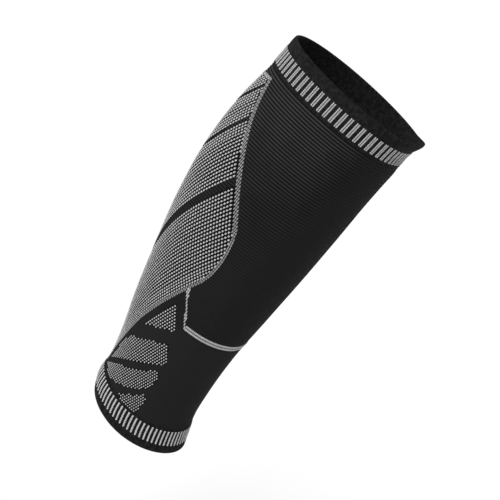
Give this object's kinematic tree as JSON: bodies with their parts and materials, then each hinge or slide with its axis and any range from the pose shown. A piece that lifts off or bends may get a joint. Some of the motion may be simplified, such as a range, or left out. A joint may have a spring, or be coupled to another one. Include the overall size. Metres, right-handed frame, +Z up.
{
  "type": "calf compression sleeve",
  "caption": "Footless knitted compression sleeve for the lower leg, from ankle to calf, with a turned elastic cuff at each end, kept in its worn form.",
  "frame": {"origin": "on the leg's axis, level with the ankle opening, where the leg passes through", "axes": "+Z up the leg towards the knee, -Y towards the shin, +Y towards the calf"},
  "size_m": [0.1098, 0.1275, 0.3112],
  "materials": {
    "knit": "matte black ribbed knit",
    "welt": "matte black turned elastic knit",
    "light_yarn": "matte light grey pattern yarn"
  },
  "bodies": {
    "root": {"sleeve_body": "knit", "upper_cuff": "welt", "lower_cuff": "welt"}
  },
  "joints": []
}
